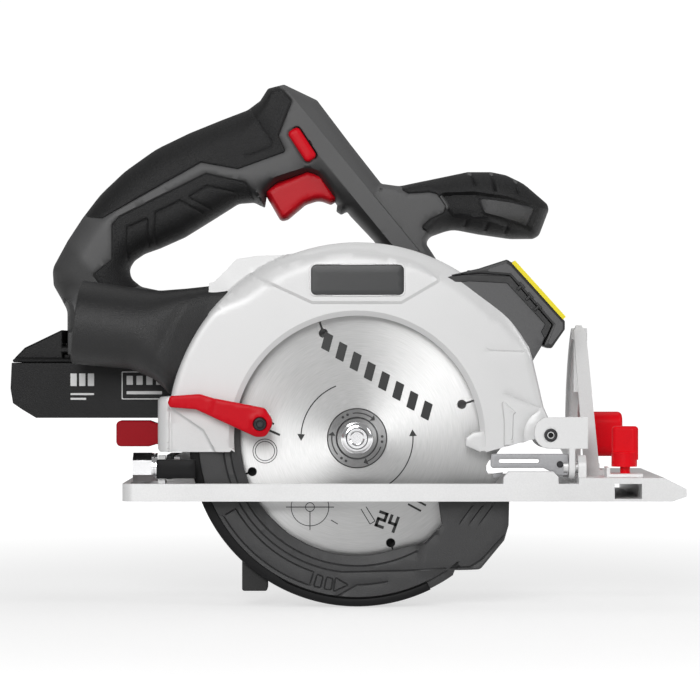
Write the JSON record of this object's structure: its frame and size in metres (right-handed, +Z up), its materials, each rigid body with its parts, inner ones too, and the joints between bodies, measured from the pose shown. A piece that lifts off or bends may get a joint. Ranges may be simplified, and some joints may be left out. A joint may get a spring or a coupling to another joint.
{
  "type": "cordless circular saw",
  "caption": "Hand-held cordless circular saw with tilting base, depth swing, retracting lower guard, spinning blade and slide-on battery.",
  "frame": {"origin": "on the sole plane, straight below the blade axle, in the blade's middle plane", "axes": "+X the cutting direction, +Y from the blade towards the motor, +Z up"},
  "size_m": [0.3398, 0.154, 0.2646],
  "materials": {
    "cast_light": "satin cast",
    "silver_paint": "satin",
    "bracket_white": "satin",
    "steel": "brushed",
    "chrome": "polished",
    "black_steel": "satin black",
    "charcoal_plastic": "satin",
    "grey_plastic": "fine grained",
    "black_plastic": "satin",
    "black_rubber": "grained",
    "red_plastic": "satin gloss",
    "dark_red_plastic": "satin",
    "badge_grey": "satin",
    "cast_grey": "as cast",
    "board_green": "solder mask",
    "brass": "plain",
    "carbide": "ground",
    "copper_wound": "wound",
    "cell_wrap": "shrink film",
    "magnet": "ferrite"
  },
  "bodies": {
    "base": {"base_plate": "cast_light", "bevel_quadrant": "cast_light", "quadrant_screws": "steel", "tilt_pins": "steel", "rear_tilt_nut": "chrome", "fence_clamp_plate": "steel"},
    "bevel_carriage": {"front_bracket": "bracket_white", "depth_pivot_pin": "steel", "depth_strut": "steel", "strut_foot": "black_steel", "bevel_clamp_bolt": "steel"},
    "bevel_knob": {"bevel_knob": "red_plastic"},
    "fence_knob": {"fence_knob": "red_plastic"},
    "depth_lever": {"depth_lever": "dark_red_plastic"},
    "lower_guard": {"lower_guard": "charcoal_plastic", "guard_bumper": "black_rubber", "guard_lever": "red_plastic", "guard_lever_screw": "steel"},
    "arbor": {"spindle": "steel", "output_gear": "steel", "blade": "steel", "tooth_tips": "carbide", "inner_flange": "steel", "outer_flange": "steel", "blade_bolt": "steel"},
    "rotor": {"rotor_shaft": "steel", "rotor_core": "copper_wound", "cooling_fan": "black_plastic"},
    "trigger": {"trigger": "red_plastic"},
    "lock_off_button": {"lock_off_button": "red_plastic"},
    "spindle_lock_button": {"spindle_lock_button": "black_plastic"},
    "laser_switch": {"laser_switch": "black_plastic"},
    "battery_pack": {"battery_case": "black_plastic", "battery_lid": "black_plastic", "battery_cells": "cell_wrap"},
    "battery_latch": {"battery_latch": "charcoal_plastic"},
    "saw_head": {"battery_terminals": "brass", "control_board": "board_green", "depth_lock_stud": "steel", "dust_port": "black_plastic", "front_grip": "black_rubber", "gear_cover": "cast_grey", "gear_housing": "cast_grey", "guard_badge": "badge_grey", "housing_left": "grey_plastic", "housing_right": "grey_plastic", "housing_screws": "black_steel", "laser_body": "grey_plastic", "laser_cap": "black_plastic", "laser_cells": "chrome", "lower_grip": "black_rubber", "lower_guard_spring": "steel", "motor_brushes": "magnet", "motor_can": "steel", "motor_magnets": "magnet", "spindle_bearings": "steel", "trigger_pin": "steel", "trigger_switch": "black_plastic", "upper_grip": "black_rubber", "upper_guard": "silver_paint"}
  },
  "joints": [
    {"name": "bevel_tilt", "type": "hinge", "parent": "base", "child": "bevel_carriage", "pos_m": [0, -0.014, 0.0165], "axis": [1, 0, 0], "range_deg": [0, 45]},
    {"name": "depth_swing", "type": "hinge", "parent": "bevel_carriage", "child": "saw_head", "pos_m": [0.0955, 0, 0.0325], "axis": [0, 1, 0], "range_deg": [0, 27]},
    {"name": "bevel_knob_turn", "type": "hinge", "parent": "bevel_carriage", "child": "bevel_knob", "pos_m": [0.12, 0.046, 0.0313], "axis": [1, 0, 0], "range_deg": [-180, 90]},
    {"name": "fence_knob_turn", "type": "hinge", "parent": "base", "child": "fence_knob", "pos_m": [0.1333, -0.008, 0.02], "axis": [0, 0, 1], "range_deg": [-90, 360]},
    {"name": "depth_lever_swing", "type": "hinge", "parent": "saw_head", "child": "depth_lever", "pos_m": [-0.0695, 0.03, 0.0325], "axis": [0, -1, 0], "range_deg": [0, 18]},
    {"name": "lower_guard_swing", "type": "hinge", "parent": "saw_head", "child": "lower_guard", "pos_m": [0, 0, 0.0305], "axis": [0, 1, 0], "range_deg": [0, 110], "stiffness_Nm_per_rad": 0.08, "springref_deg": -51.57},
    {"name": "blade_spin", "type": "hinge", "parent": "saw_head", "child": "arbor", "pos_m": [0, 0, 0.0305], "axis": [0, -1, 0], "continuous": true},
    {"name": "rotor_spin", "type": "hinge", "parent": "saw_head", "child": "rotor", "pos_m": [0, 0.08, 0.05525], "axis": [0, -1, 0], "continuous": true},
    {"name": "trigger_pull", "type": "hinge", "parent": "saw_head", "child": "trigger", "pos_m": [-0.017, 0.058, 0.157], "axis": [0, 1, 0], "range_deg": [0, 12], "stiffness_Nm_per_rad": 0.9, "springref_deg": -8.59},
    {"name": "lock_off_push", "type": "slide", "parent": "saw_head", "child": "lock_off_button", "axis": [0, 1, 0], "range_m": [-0.002, 0.002], "stiffness_N_per_m": 600},
    {"name": "spindle_lock_push", "type": "slide", "parent": "saw_head", "child": "spindle_lock_button", "axis": [1, 0, 0], "range_m": [0, 0.0025], "stiffness_N_per_m": 500, "springref_m": -0.002},
    {"name": "laser_switch_slide", "type": "slide", "parent": "saw_head", "child": "laser_switch", "axis": [0, 1, 0], "range_m": [0, 0.003]},
    {"name": "battery_slide", "type": "slide", "parent": "saw_head", "child": "battery_pack", "axis": [-1, 0, 0], "range_m": [0, 0.12]},
    {"name": "battery_latch_press", "type": "slide", "parent": "battery_pack", "child": "battery_latch", "axis": [1, 0, 0], "range_m": [0, 0.002], "stiffness_N_per_m": 600, "springref_m": -0.002}
  ],
  "couplings": [
    {"joint": "rotor_spin", "follows": "blade_spin", "ratio": -4}
  ]
}
